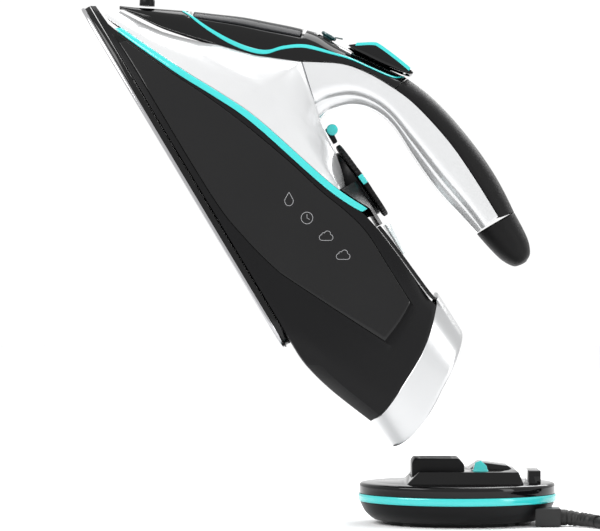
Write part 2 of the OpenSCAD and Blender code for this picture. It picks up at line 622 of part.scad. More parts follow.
on_iron() soleplate();
on_iron() steam_chamber();
on_iron() heating_element();
on_iron() chamber_cover();
on_iron() heat_shield();
on_iron() thermostat();
on_iron() dial_shaft();
on_iron() thermal_fuse();
on_iron() lower_shell();
on_iron() mirrored(true) tank_window();  // tank_window_left
on_iron() mirrored(false) tank_window();  // tank_window_right
on_iron() mirrored(true) accent_band();  // accent_band_left
on_iron() mirrored(false) accent_band();  // accent_band_right
on_iron() upper_shell();
on_iron() handle_frame();
on_iron() handle_end();
on_iron() top_cover();
on_iron() handle_cover();
on_iron() mirrored(true) trim_line();  // trim_line_left
on_iron() mirrored(false) trim_line();  // trim_line_right
on_iron() fill_door();
on_iron() fill_door_pin();
on_iron() fill_funnel();
on_iron() water_tank();
on_iron() tank_lid();
on_iron() valve_rod();
on_iron() spray_nozzle();
on_iron() spray_button();
on_iron() spray_pump();
on_iron() spray_spring();
on_iron() steam_lever();
on_iron() lever_pin();
on_iron() steam_pump();
on_iron() steam_spring();
on_iron() steam_selector();
on_iron() temperature_dial();
on_iron() dial_pointer();
on_iron() dial_housing();
on_iron() rear_lens();
on_iron() rear_deck();
on_iron() heel_skirt();
on_iron() heel_plate();
on_iron() heel_socket();
on_iron() control_board();
dock_shell();
dock_bottom();
dock_band();
dock_cover();
dock_connector();
contact_pins();
terminal_block();
dock_latch();
latch_spring();
dock_feet();
strain_relief();
cord();
cord_coil();
coil_tie();
plug_body();
plug_pins();
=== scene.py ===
"""Looks of a cordless steam iron held over its docking base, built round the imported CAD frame."""
import math

import bmesh
import bpy
from mathutils import Matrix, Vector


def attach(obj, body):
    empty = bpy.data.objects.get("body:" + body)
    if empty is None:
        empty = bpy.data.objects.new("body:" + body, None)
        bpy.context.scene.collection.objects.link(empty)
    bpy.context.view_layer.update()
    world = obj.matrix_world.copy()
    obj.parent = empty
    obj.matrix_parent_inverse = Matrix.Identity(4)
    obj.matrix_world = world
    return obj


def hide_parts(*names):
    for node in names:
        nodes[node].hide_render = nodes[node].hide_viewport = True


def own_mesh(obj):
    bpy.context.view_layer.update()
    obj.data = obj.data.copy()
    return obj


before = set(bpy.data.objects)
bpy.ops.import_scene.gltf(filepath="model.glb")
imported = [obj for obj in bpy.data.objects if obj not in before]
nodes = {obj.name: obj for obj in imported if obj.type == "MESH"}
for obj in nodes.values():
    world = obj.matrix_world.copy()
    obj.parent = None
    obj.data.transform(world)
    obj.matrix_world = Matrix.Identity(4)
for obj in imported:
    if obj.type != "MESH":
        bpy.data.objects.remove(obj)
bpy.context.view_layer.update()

MM = 0.001
TILT = math.radians(59)
TIP = Vector((-225, 0, 307))
IRON = Matrix.Translation(TIP) @ Matrix.Rotation(TILT, 4, "Y")
BASE = Matrix.Identity(4)


# ---- camera ---------------------------------------------------------------------------------

VIEW_X, VIEW_Z, VIEW_FAR = -0.0942, 0.1544, 1.8
VIEW_WIDTH = 0.36


def make_camera():
    data = bpy.data.cameras.new("view")
    data.sensor_width = 36
    data.lens = data.sensor_width * VIEW_FAR / VIEW_WIDTH
    cam = bpy.data.objects.new("view", data)
    cam.location = (VIEW_X, -VIEW_FAR, VIEW_Z)
    cam.rotation_euler = (math.pi / 2, 0, 0)
    bpy.context.scene.collection.objects.link(cam)
    bpy.context.scene.camera = cam


make_camera()


# ---- curves and tables ----------------------------------------------------------------------


def lerp(a, b, t):
    return a + (b - a) * t


def ease(t):
    t = min(1.0, max(0.0, t))
    return t * t * (3 - 2 * t)


def bend(a, b, c, d, t):
    """Point at t of the way from b to c on the smooth curve a-b-c-d."""
    return tuple(
        q + 0.5 * t * (r - p + t * (2 * p - 5 * q + 4 * r - s + t * (3 * q - p - 3 * r + s)))
        for p, q, r, s in zip(a, b, c, d)
    )


def along(points, t):
    """Place at t (whole numbers are the points) along a list of points or numbers."""
    last = len(points) - 1
    i = max(0, min(last - 1, math.floor(t)))
    four = [points[max(i - 1, 0)], points[i], points[i + 1], points[min(i + 2, last)]]
    if not isinstance(points[0], (tuple, list)):
        return bend(*[(v,) for v in four], t - i)[0]
    return bend(*four, t - i)


def smooth(points, n=6):
    last = len(points) - 1
    return [along(points, k / n) for k in range(last * n)] + [tuple(points[last])]


def lookup(x, table):
    if x <= table[0][0]:
        return table[0][1]
    for (x0, y0), (x1, y1) in zip(table, table[1:]):
        if x <= x1:
            return lerp(y0, y1, (x - x0) / (x1 - x0)) if x1 > x0 else y1
    return table[-1][1]


def steps(points, n):
    """A list of numbers with n even steps between neighbours."""
    out = [lerp(a, b, k / n) for a, b in zip(points, points[1:]) for k in range(n)]
    return out + [points[-1]]


# ---- mesh helpers ---------------------------------------------------------------------------

WELD_M = 1e-6
SHARP_DEG = 40


def add_mesh(name, verts, faces, place):
    mesh = bpy.data.meshes.new(name)
    mesh.from_pydata([(place @ Vector(v)) * MM for v in verts], [], faces)
    mesh.validate()
    obj = bpy.data.objects.new(name, mesh)
    bpy.context.scene.collection.objects.link(obj)
    return obj


def apply_modifiers(obj):
    bpy.context.view_layer.update()
    graph = bpy.context.evaluated_depsgraph_get()
    done = bpy.data.meshes.new_from_object(obj.evaluated_get(graph))
    obj.modifiers.clear()
    obj.data = done


def clean(mesh, weld=True):
    """Outward normals, with points that lie on each other merged unless weld is off."""
    bm = bmesh.new()
    bm.from_mesh(mesh)
    if weld:
        bmesh.ops.remove_doubles(bm, verts=bm.verts, dist=WELD_M)
    bmesh.ops.recalc_face_normals(bm, faces=bm.faces)
    bm.to_mesh(mesh)
    bm.free()


def combine(obj, tool, operation):
    """Boolean of two closed meshes on the first one; the tool is used up."""
    for mesh in (obj.data, tool.data):
        clean(mesh, weld=operation == "DIFFERENCE")
    mod = obj.modifiers.new("combine", "BOOLEAN")
    mod.operation = operation
    mod.object = tool
    mod.solver = "EXACT"
    apply_modifiers(obj)
    bpy.data.objects.remove(tool)


def finish_mesh(obj, bevel=0.35, angle=35, segments=2):
    """Clean mesh, small rounded edges and smooth shading away from the sharp ones."""
    clean(obj.data)
    if bevel:
        mod = obj.modifiers.new("edge", "BEVEL")
        mod.width = bevel * MM
        mod.segments = segments
        mod.limit_method = "ANGLE"
        mod.angle_limit = math.radians(angle)
        apply_modifiers(obj)
    for poly in obj.data.polygons:
        poly.use_smooth = True
    obj.data.set_sharp_from_angle(angle=math.radians(SHARP_DEG))


def skin_mesh(outer, inner, holes=()):
    """Closed skin between two sheets of points; holes leave cells (i0, i1, j0, j1) out."""
    rows, cols = len(outer), len(outer[0])
    n = rows * cols

    def kept(i, j):
        inside = 0 <= i < rows - 1 and 0 <= j < cols - 1
        return inside and not any(a <= i < b and c <= j < d for a, b, c, d in holes)

    faces = []
    for i in range(rows - 1):
        for j in range(cols - 1):
            if not kept(i, j):
                continue
            a = i * cols + j
            b, c, d = a + 1, a + cols + 1, a + cols
            faces += [(a, b, c, d), (n + a, n + d, n + c, n + b)]
            if not kept(i - 1, j):
                faces.append((b, a, n + a, n + b))
            if not kept(i + 1, j):
                faces.append((d, c, n + c, n + d))
            if not kept(i, j - 1):
                faces.append((a, d, n + d, n + a))
            if not kept(i, j + 1):
                faces.append((c, b, n + b, n + c))
    return [p for sheet in (outer, inner) for row in sheet for p in row], faces


def loft_mesh(rings):
    m, last = len(rings[0]), len(rings) - 1
    faces = [
        (i * m + j, i * m + (j + 1) % m, (i + 1) * m + (j + 1) % m, (i + 1) * m + j)
        for i in range(last)
        for j in range(m)
    ]
    faces += [tuple(range(m - 1, -1, -1)), tuple(last * m + j for j in range(m))]
    return [p for ring in rings for p in ring], faces


def make(name, geometry, finish, body, replaced=(), place=IRON, bevel=0.35):
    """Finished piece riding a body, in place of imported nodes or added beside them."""
    obj = add_mesh(name, *geometry, place)
    finish_mesh(obj, bevel)
    obj.data.materials.append(finish)
    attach(obj, body)
    if replaced:
        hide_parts(*replaced)
    return obj


def prism(outline, y0, y1):
    """Prism along Y of an outline in the side view."""
    return loft_mesh([[(x, y, z) for x, z in outline] for y in (y0, y1)])


def box_mesh(x0, y0, z0, x1, y1, z1):
    return loft_mesh([[(x0, y0, z), (x1, y0, z), (x1, y1, z), (x0, y1, z)] for z in (z0, z1)])


def ellipse(rx, ry, z, n):
    """Level ring of n points round local Z."""
    angles = [2 * math.pi * k / n for k in range(n)]
    return [(rx * math.cos(a), ry * math.sin(a), z) for a in angles]


def lathe(profile, n):
    """Solid of revolution about local Z from an open profile that starts and ends on the axis."""
    return loft_mesh([ellipse(r, r, z, n) for r, z in profile])


def ring_wall(loops):
    """Closed wall through loops that go round its section and back to the first."""
    n, m = len(loops), len(loops[0])
    faces = [
        (i * m + k, i * m + (k + 1) % m, (i + 1) % n * m + (k + 1) % m, (i + 1) % n * m + k)
        for i in range(n)
        for k in range(m)
    ]
    return [p for loop in loops for p in loop], faces


# ---- materials ------------------------------------------------------------------------------


COAT_ROUGH = 0.05
SMUDGE = 0.15
SLOW_NOISE, SLOW_DETAIL, FINE_DETAIL = 28, 3, 4
RELIEF_M = 0.0004


def material(name, color, rough, metallic=0.0, specular=0.5, coat=0.0, alpha=1.0, grain=900,
             bump=0.02, vary=0.12, stretch=(1, 1, 1)):
    """Moulded or metal surface: fine grain in the bump, slow changes in tone and gloss."""
    mat = bpy.data.materials.new(name)
    mat.use_nodes = True
    tree = mat.node_tree

    def setup(node, **values):
        for key, value in values.items():
            node.inputs[key.replace("_", " ")].default_value = value
        return node

    def link(source, output, target, socket):
        tree.links.new(source.outputs[output], target.inputs[socket])

    shader = setup(tree.nodes["Principled BSDF"], Metallic=metallic, Specular_IOR_Level=specular,
                   Coat_Weight=coat, Coat_Roughness=COAT_ROUGH, Alpha=alpha)
    place = tree.nodes.new("ShaderNodeTexCoord")
    mapping = setup(tree.nodes.new("ShaderNodeMapping"), Scale=stretch)
    link(place, "Object", mapping, "Vector")
    slow = setup(tree.nodes.new("ShaderNodeTexNoise"), Scale=SLOW_NOISE, Detail=SLOW_DETAIL)
    fine = setup(tree.nodes.new("ShaderNodeTexNoise"), Scale=grain, Detail=FINE_DETAIL)
    link(mapping, "Vector", slow, "Vector")
    link(mapping, "Vector", fine, "Vector")
    tone = setup(tree.nodes.new("ShaderNodeMapRange"), To_Min=1 - vary, To_Max=1 + vary)
    link(slow, "Fac", tone, "Value")
    paint = tree.nodes.new("ShaderNodeMix")
    paint.data_type = "RGBA"
    paint.blend_type = "MULTIPLY"
    setup(paint, Factor=1, A=(*color, 1))
    link(tone, "Result", paint, "B")
    link(paint, "Result", shader, "Base Color")
    gloss = setup(tree.nodes.new("ShaderNodeMapRange"), To_Min=rough * (1 - SMUDGE),
                  To_Max=rough * (1 + SMUDGE))
    link(slow, "Fac", gloss, "Value")
    link(gloss, "Result", shader, "Roughness")
    relief = setup(tree.nodes.new("ShaderNodeBump"), Strength=bump, Distance=RELIEF_M)
    link(fine, "Fac", relief, "Height")
    link(relief, "Normal", shader, "Normal")
    return mat


BLACK = material("black_matte", (0.004, 0.004, 0.0044), 0.36, specular=0.14, bump=0.12, grain=2600)
GLOSS = material("black_gloss", (0.002, 0.002, 0.0022), 0.08, specular=0.26, bump=0.004)
WINDOW = material("tank_window", (0.0075, 0.0075, 0.0078), 0.07, specular=0.22, bump=0.004)
SOFT = material("soft_touch", (0.0045, 0.0044, 0.0046), 0.5, specular=0.13, bump=0.25, grain=3800)
SILVER = material("silver_paint", (0.60, 0.605, 0.61), 0.22, metallic=0.5, coat=0.4, bump=0.02,
                  grain=5200, vary=0.03)
SKIRT = material("silver_skirt", (0.50, 0.505, 0.51), 0.24, metallic=0.9, coat=0.15, bump=0.02,
                 grain=5200, vary=0.03)
TEAL = material("teal_gloss", (0.025, 0.47, 0.46), 0.18, coat=0.4, bump=0.006, vary=0.05)
TEAL_DARK = material("teal_dark", (0.004, 0.045, 0.05), 0.22, coat=0.4, bump=0.006)
STEEL = material("sole_steel", (0.42, 0.42, 0.43), 0.16, metallic=1.0, bump=0.06, grain=260,
                 stretch=(1, 18, 1), vary=0.08)
SMOKE = material("smoked_clear", (0.012, 0.0125, 0.014), 0.16, specular=0.14, alpha=0.94,
                 bump=0.002)
CLEAR = material("clear_grey", (0.62, 0.70, 0.71), 0.08, alpha=0.62, bump=0.002)
CAST = material("cast_metal", (0.42, 0.42, 0.43), 0.5, metallic=0.9, bump=0.5, grain=700)
HEATER = material("heater_steel", (0.30, 0.24, 0.20), 0.35, metallic=1.0, bump=0.1, grain=600)
BRASS = material("contact_brass", (0.75, 0.52, 0.22), 0.25, metallic=1.0, bump=0.05, grain=500)
NICKEL = material("plug_nickel", (0.62, 0.61, 0.58), 0.18, metallic=1.0, bump=0.03, grain=400)
WHITE = material("white_plastic", (0.74, 0.73, 0.68), 0.4, bump=0.06, grain=1500)
BOARD = material("shield_board", (0.16, 0.26, 0.14), 0.5, bump=0.2, grain=800)
RUBBER = material("cord_rubber", (0.012, 0.012, 0.012), 0.5, specular=0.35, bump=0.2, grain=2400)
TIE = material("tie_fabric", (0.015, 0.015, 0.015), 0.9, bump=0.9, grain=1600, stretch=(1, 6, 1))
MARK = material("print_grey", (0.30, 0.30, 0.31), 0.5, bump=0.01)
FLOOR = material("floor_white", (0.955, 0.955, 0.96), 0.8, specular=0.05, bump=0.01, vary=0.004,
                 grain=60)

# ---- body outlines, iron frame: x from tip to heel, z up from the sole ----------------------

SKIRT_Z, HEEL_S, BAND_H, GAP, WALL = 5.8, 298.0, 2.1, 0.15, 2.2
PLAN = smooth([(0, 1.6), (6, 7.5), (20, 16), (45, 27), (80, 38), (120, 46.5), (160, 52.5),
               (200, 56), (240, 57), (270, 55), (300, 51)])
SEAM = smooth([(20, 298), (30, 297), (39.5, 293.5), (54, 286.5), (66.5, 280), (79, 270.5),
               (90, 259.5), (96, 253)])
RIM = smooth([(20, 317.5), (30.5, 318.5), (41.5, 316.5), (55.5, 311), (66.5, 304), (79, 296.5),
              (91.5, 286.5), (97, 280)])
UNDERSIDE = smooth([(0, SKIRT_Z), (225, SKIRT_Z), (237, SKIRT_Z), (250, 6.5), (270, 11.5),
                    (298, 22)])
WINDOW_LOW = smooth([(0, 7.4), (22, 8.6), (40, 9.8), (135, 10.2), (166, 13.8), (191, 19.8),
                     (207, 26.5), (276, 60)])
WINDOW_TOP = smooth([(0, 8.2), (16, 9.2), (22, 10), (30, 13.5), (60, 26.5), (86, 38.5), (112, 49),
                     (144, 60), (167, 66.5), (185, 73), (202, 77), (227, 77.5), (272, 78.5)])
BAND = smooth([(0, 11.2), (17, 12), (61, 30.5), (86, 43), (112, 54.7), (168, 72.2), (194, 84.8)])
DECK = smooth([(194, 84), (205, 86), (223, 88), (250, 90.5), (256, 92)])
ROOF = [(7, 17), (10, 20), (32, 35), (55, 54.5), (77, 75), (95, 97), (129.5, 88.5), (150, 86.5),
        (165, 83.5), (173, 81)]
ROOF_HALF = [(7, 2.2), (10, 3), (32, 10.5), (55, 15), (77, 17.5), (95, 19), (173, 19)]


def plan(s):
    return lookup(s, PLAN)


def body_x(s, z):
    rake = 0.6 * max(0, 1 - s / 60) * (z - SKIRT_Z)
    return s + rake - (HEEL_S - lookup(z, SEAM)) * ease((s - 210) / (HEEL_S - 210))


def half(s, z):
    t = min(1, max(0, (z - lookup(s, UNDERSIDE)) / 12))
    rounding = 1 - 0.2 * ease((s - 225) / 50) * (1 - t) ** 2
    return plan(s) * (1 - 0.0022 * max(0, z - SKIRT_Z)) * rounding


def at_x(table, s):
    z = lookup(s, table)
    for _ in range(2):
        z = lookup(body_x(s, z), table)
    return z


def band_z(s):
    return at_x(BAND, s)


def band_half_h(s):
    return BAND_H * min(ease((s - 8) / 14), ease((202 - s) / 16))


def mirror_y(points):
    return [(x, -y, z) for x, y, z in points]


def slope(x, z, degrees):
    """Place in the iron frame whose Z leans by an angle about Y."""
    return IRON @ Matrix.Translation((x, 0, z)) @ Matrix.Rotation(math.radians(degrees), 4, "Y")


# ---- mains lead -----------------------------------------------------------------------------

CORD_D, PITCH, LAYER = 6.5, 6.5, 6.55
CORD_Z = 3.3
COIL = (154.1, -60.4)
COIL_OUT, COIL_MID, COIL_MID_Z = 48.5, 38.75, 7.6
# degrees: where the coil starts, how far it turns, its step, and where it climbs a layer
COIL_START, COIL_TURNED, COIL_STEP = 249.4, 2268, 6
CLIMB_START, CLIMB = 1085, 150
TURNS_IN = 3
BEFORE_START = (60.4, -24.5, 5.5)
START = (63.2, -25.2, 5.4)
ROUTE = [(66, -26, 5.2), (71, -28.5, 4.4), (77, -33.5, 3.7), (82.5, -41, 3.3), (87.5, -50, 3.3),
         (92, -59, 3.3), (96, -68, 3.3), (99.5, -77, 3.3), (104, -85.5, 3.3), (110.5, -92.5, 3.3),
         (118.5, -98.5, 3.3)]
JOINING = (127.6, -103.3, 3.3)
TAIL = [(202.8, -52, 10.6), (203.8, -43, 12.6), (205.6, -34, 15.4), (207.5, -26.5, 17.6),
        (208.6, -22.4, 18.7)]


def coil_point(turned):
    """Point of the coil after so many degrees: three turns in, a climb, then three turns out."""
    half_turn = turned % 360 / 180 - 1
    shift = int(turned // 360) + ease(half_turn)
    if turned < 360 * TURNS_IN:
        r, z = COIL_OUT - PITCH * shift, CORD_Z
    else:
        r = COIL_OUT - TURNS_IN * PITCH + PITCH * (shift - TURNS_IN)
        z = CORD_Z + LAYER * ease((turned - CLIMB_START) / CLIMB)
    a = math.radians(COIL_START + turned)
    return COIL[0] + r * math.cos(a), COIL[1] + r * math.sin(a), z


def make_cord():
    """The lead as one curve: out of the base, round the coil and up to the plug."""
    first = smooth([BEFORE_START, START, *ROUTE, JOINING, coil_point(0)], 5)[5:-1]
    coil = [coil_point(k * COIL_STEP) for k in range(COIL_TURNED // COIL_STEP + 1)]
    tail = smooth([coil[-1], *TAIL], 4)[1:]
    path = [Vector(p) * MM for p in first + coil + tail]
    curve = bpy.data.curves.new("mains_lead", "CURVE")
    curve.dimensions = "3D"
    curve.bevel_depth = CORD_D / 2 * MM
    curve.bevel_resolution = 5
    curve.use_fill_caps = True
    line = curve.splines.new("POLY")
    line.points.add(len(path) - 1)
    for point, p in zip(line.points, path):
        point.co = (*p, 1)
    obj = bpy.data.objects.new("mains_lead", curve)
    bpy.context.scene.collection.objects.link(obj)
    obj.data.materials.append(RUBBER)
    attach(obj, "dock")
    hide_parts("cord", "cord_coil")
    length = sum((b - a).length for a, b in zip(path, path[1:]))
    return obj, path, length


lead, lead_path, lead_length = make_cord()


def placed(x, y, z, rotation=None):
    matrix = Matrix.Translation((x, y, z))
    return matrix @ rotation if rotation else matrix


def turn(degrees, axis):
    return Matrix.Rotation(math.radians(degrees), 4, axis)


def rounded_rect(w, h, r, n=6):
    """Rounded rectangle as a closed list of (x, y), centred."""
    out = []
    for cx, cy, a0 in ((w / 2 - r, h / 2 - r, 0), (r - w / 2, h / 2 - r, 90),
                       (r - w / 2, r - h / 2, 180), (w / 2 - r, r - h / 2, 270)):
        for k in range(n + 1):
            a = math.radians(a0 + 90 * k / n)
            out.append((cx + r * math.cos(a), cy + r * math.sin(a)))
    return out


PLUG_X, PLUG_Y, PLUG_Z = 209, 4, 19
PLUG_TAIL, RIBS, RIB_PITCH = -26, 9, 2.2
PIN_OFF, PIN_Y = 9.5, 16


def make_plug():
    """Round two-pin plug, its ribbed grip towards the lead."""
    grip = [(0.1, PLUG_TAIL)]
    for k in range(RIBS):
        z = PLUG_TAIL + k * RIB_PITCH
        r = 6.2 + 4.6 * ease(k / (RIBS - 1))
        grip += [(r, z + 0.3), (r, z + 1.4), (r - 0.7, z + 1.6), (r - 0.7, z + 2.0)]
    grip += [(11, -6), (11.2, -4), (13, -1.2), (17.4, 0.4), (18.5, 1.8), (18.5, 10.6), (17.4, 12),
             (14.6, 12), (14.2, 10.6), (0.1, 10.6)]
    body = make("plug_moulding", lathe(grip, 72), RUBBER, "dock", ["plug_body"],
                placed(PLUG_X, PLUG_Y, PLUG_Z, turn(-90, "X")), 0.2)
    profile = [(0.05, -1.6), (2.4, -1.6), (2.4, 16.4), (1.9, 18.2), (1.1, 18.9), (0.05, 19)]
    parts = []
    for side in (-1, 1):
        spot = placed(PLUG_X + side * PIN_OFF, PIN_Y, PLUG_Z, turn(-90, "X"))
        parts.append(add_mesh("pin", *lathe(profile, 32), spot))
    pins = join("plug_pins_metal", parts)
    finish_mesh(pins, 0)
    pins.data.materials.append(NICKEL)
    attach(pins, "dock")
    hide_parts("plug_pins")
    return body, pins


def join(name, parts):
    """One mesh object from several that carry no materials yet."""
    bm = bmesh.new()
    for part in parts:
        bm.from_mesh(part.data)
    mesh = bpy.data.meshes.new(name)
    bm.to_mesh(mesh)
    bm.free()
    for part in parts:
        bpy.data.objects.remove(part)
    obj = bpy.data.objects.new(name, mesh)
    bpy.context.scene.collection.objects.link(obj)
    return obj


def make_tie():
    """Woven strap round the section of the coil, with its free end lying on the outside."""
    path = rounded_rect(28.2, 14.9, 2.2, 8)
    cross = [(-4.6, 0), (-4.4, 0.55), (0, 0.62), (4.4, 0.55), (4.6, 0), (4.4, -0.3), (0, -0.3),
             (-4.4, -0.3)]
    loops = []
    for along_x, out in cross:
        loop = []
        for (y, z), (y2, z2) in zip(path, path[1:] + path[:1]):
            t = Vector((y2 - y, z2 - z))
            n = Vector((t.y, -t.x)).normalized() if t.length > 1e-6 else Vector((0, 1))
            loop.append((COIL[0] + along_x, COIL[1] + COIL_MID + y + n.x * out,
                         COIL_MID_Z + z + n.y * out))
        loops.append(loop)
    return make("coil_strap", ring_wall(loops), TIE, "dock", ["coil_tie"], BASE, 0)


plug, plug_pins = make_plug()
strap = make_tie()


# ---- body shells ----------------------------------------------------------------------------

SHELL_S = [0, 2, 5, 10, 16, 24, 34, 48, 64, 82, 100, 120, 140, 160, 176, 190, 202, 214, 226,
           238, 250, 262, 272, 280, 288, 298]
BAND_END = 194
REBATE = 1.5


def wall_top(s):
    return (band_z(s) if s < BAND_END else at_x(DECK, s)) - BAND_H


def shell_ring(s, out):
    """Section of the lower shell, with a rebate for the tank window on its outside."""
    z0 = lookup(s, UNDERSIDE)
    z1 = at_x(WINDOW_LOW, s)
    z2 = max(z1 + 0.6, at_x(WINDOW_TOP, s))
    z3 = max(z2 + 0.4, wall_top(s) - GAP)
    r = REBATE * min(ease((s - 22) / 5), ease((276 - s) / 5)) if out else 0
    w = 0 if out else REBATE + WALL
    rows = [(z3, 0), (lerp(z2, z3, 0.5), 0), (z2 + 0.2, 0), (z2, r)]
    rows += [(lerp(z2, z1, k / 4), r) for k in (1, 2, 3)]
    rows += [(z1, r), (z1 - 0.2, 0)]
    foot = z0 + (0 if out else WALL)
    rows += [(lerp(z1 - 0.2, foot, k / 6), 0) for k in (1, 2, 3, 4, 5)]
    least = 0.8 if out else 0.3
    side = [(body_x(s, z), max(least, half(s, z) - d - w), z) for z, d in rows]
    roll = 1.6 if out else 0.2
    x, y = body_x(s, foot), max(least, half(s, foot) - w)
    drop = min(roll, y * 0.3)
    side += [(x, y - 0.15 * drop, foot + 0.45 * drop), (x, y - drop, foot)]
    y -= drop
    return mirror_y(side) + [(x, -y / 2, foot), (x, y / 2, foot)] + side[::-1]


fine_shell = steps(SHELL_S, 3)
make("lower_moulding",
     skin_mesh([shell_ring(s, True) for s in fine_shell],
               [shell_ring(s, False) for s in fine_shell]),
     BLACK, "iron", ["lower_shell"], bevel=0.25)

WINDOW_S = [28, 36, 48, 64, 84, 106, 130, 154, 176, 192, 206, 220, 234, 248, 260, 270]


def window_side(s, inset):
    z1, z2 = at_x(WINDOW_LOW, s) + GAP, at_x(WINDOW_TOP, s) - GAP
    zs = [lerp(z1, z2, k / 12) for k in range(13)]
    return [(body_x(s, z), half(s, z) - inset, z) for z in zs]


def flip(geometry):
    verts, faces = geometry
    return mirror_y(verts), [tuple(reversed(f)) for f in faces]


def both_sides(*pieces):
    """Left and right pieces from the shapes of the right ones."""
    for side in ("left", "right"):
        for name, shape, finish, node, bevel in pieces:
            geometry = flip(shape) if side == "left" else shape
            make(f"{name}_{side}", geometry, finish, "iron", [f"{node}_{side}"], bevel=bevel)


BAND_S = [18, 26, 36, 50, 66, 84, 104, 124, 144, 160, 172, 182, 190]
BAND_BULGE = 0.5


def band_side(s, out):
    z, h = band_z(s), band_half_h(s)
    rows = []
    for k in (-1, -0.85, -0.5, 0, 0.5, 0.85, 1):
        lift = BAND_BULGE * (1 - abs(k) ** 4) if out else -WALL
        rows.append((body_x(s, z + k * h), half(s, z + k * h) + lift, z + k * h))
    return rows


fine_window = steps(WINDOW_S, 4)
window_shape = skin_mesh([window_side(s, 0) for s in fine_window],
                         [window_side(s, 1.3) for s in fine_window])
fine_band = steps(BAND_S, 5)
band_shape = skin_mesh([band_side(s, True) for s in fine_band],
                       [band_side(s, False) for s in fine_band])
both_sides(("side_window", window_shape, WINDOW, "tank_window", 0.3),
           ("teal_band", band_shape, TEAL, "accent_band", 0.2))

ROOF_S = [7, 10, 15, 22, 32, 43, 55, 66, 77, 86, 95, 104, 113, 121, 130, 140, 150, 160, 166, 172]
CREASE, CREASE_UP, CREASE_H = 0.7, 17, 1.6
FUNNEL_HOLE = (16, 36, 28, 33)


def roof_ring(s, t):
    """Section of the upper shell, t in from its outside, with a soft crease along each flank."""
    z = band_z(s) + band_half_h(s) + GAP
    top = max(z + 1, lookup(s, ROOF) - t)
    wl = max(1.4, half(s, z) - t)
    wt = max(1.2, min(wl - 0.2, lookup(s, ROOF_HALF) - t))
    d, h, x = wl - wt, top - z, body_x(s, z)
    side = smooth([(wl, z), (wl - 0.2 * d, z + 0.35 * h), (wl - 0.62 * d, z + 0.7 * h),
                   (wt + 0.05 * d, top - 0.08 * h), (0.9 * wt, top), (0.5 * wt, top)], 6)
    if t == 0:
        fade = ease((s - 40) / 25) * ease((150 - s) / 30)
        side = [(y + CREASE * fade * math.exp(-((v - z - CREASE_UP) / CREASE_H) ** 2), v)
                for y, v in side]
    return [(x, -y, v) for y, v in side] + [(x, 0, top)] + [(x, y, v) for y, v in side[::-1]]


fine_roof = steps(ROOF_S, 4)
make("upper_moulding",
     skin_mesh([roof_ring(s, 0) for s in fine_roof], [roof_ring(s, WALL) for s in fine_roof],
               [FUNNEL_HOLE]),
     SILVER, "iron", ["upper_shell"], bevel=0.25)

# ---- handle ---------------------------------------------------------------------------------

GRIP_LOW = [(129.5, 88.9), (128.5, 97), (132.5, 110), (141.5, 119), (155.5, 124), (178, 125),
            (202, 127), (224, 131.5), (236, 134)]
GRIP_TOP = [(95.5, 97.4), (101, 106), (109, 117.3), (119.5, 126), (132, 133.2), (150.5, 141),
            (179, 147), (205, 149), (234, 149.5)]
GRIP_HALF = [18.5, 18, 17.5, 17, 17, 17, 17, 16.5, 16]


GRIP_CELLS = 97


def grip_ring(t, inset):
    """Section of the handle frame: full width at the cover, rounding in towards the fingers."""
    a, c = Vector(along(GRIP_TOP, t)), Vector(along(GRIP_LOW, t))
    w = along(GRIP_HALF, t) - inset
    u = (c - a).normalized()
    low = c - u * inset
    section = smooth([(1, 0), (1, 0.3), (0.97, 0.56), (0.86, 0.7), (0.74, 0.74), (0.68, 0.84),
                      (0.5, 0.97), (0, 1)], 5)
    side = []
    for across, down in section:
        p = a + (low - a) * down
        side.append((p.x, w * across, p.y))
    return mirror_y(side) + side[-2::-1]


fine_t = [lerp(-0.1, 8, k / GRIP_CELLS) for k in range(GRIP_CELLS + 1)]
make("handle_moulding",
     skin_mesh([grip_ring(t, 0) for t in fine_t], [grip_ring(t, WALL) for t in fine_t]),
     SILVER, "iron", ["handle_frame"], bevel=0.3)

END_LOW = [(236.6, 134.2), (248, 136.3), (258, 139), (264.5, 143), (266, 147)]
END_TOP = [(236.8, 160), (247, 159.6), (256, 158.5), (263, 155.5), (266, 151)]
END_HALF = [15.8, 15.5, 14.5, 11, 5]


def end_ring(t):
    a, b = Vector(along(END_LOW, t)), Vector(along(END_TOP, t))
    h = along(END_HALF, t)
    ring = []
    for k in range(60):
        f = math.radians(6 * k)
        q = (a + b) / 2 + (b - a) / 2 * math.sin(f)
        ring.append((q.x, h * math.cos(f), q.y))
    return ring


make("handle_end_cap", loft_mesh([end_ring(k / 8) for k in range(33)]), SOFT, "iron",
     ["handle_end"], bevel=0.5)

COVER_LOW = [(10, 20.4), (20, 27.2), (32, 35.2), (44, 45.2), (55, 55), (66, 64.7), (77, 75.4),
             (86, 86), (95, 97.7), (104, 111.3), (112, 120.8), (122, 128.2), (133, 134.2),
             (137, 136), (150.5, 141.5), (165, 145), (179, 147.4), (192, 148.7), (205, 149.4),
             (220, 149.8), (235, 150)]
COVER_TOP = [(9, 21.2), (14.5, 28.5), (23, 40.8), (33, 54.8), (43, 68), (53, 81), (63.5, 92.8),
             (74, 104.3), (85, 115), (95, 120.3), (104, 125.8), (117, 134.3), (130, 143),
             (135, 146.2), (150, 152.3), (165, 156.3), (180, 159), (195, 160.8), (210, 161.6),
             (224, 161.2), (237, 160)]
COVER_HALF = [2.6, 6, 10, 12.5, 14.5, 16, 17, 17.5, 18, 18, 18, 17.8, 17.5, 17.3, 17, 17, 17,
              16.8, 16.6, 16.4, 16]


def cover_at(t, f, inset=0.0):
    """Point of the cover at station t and angle f from its crest, inset from the outside."""
    a, b = Vector(along(COVER_LOW, t)), Vector(along(COVER_TOP, t))
    u = (b - a).normalized()
    c = a + (b - a - u * inset) * math.cos(math.radians(f))
    return c.x, (along(COVER_HALF, t) - inset) * math.sin(math.radians(f)), c.y


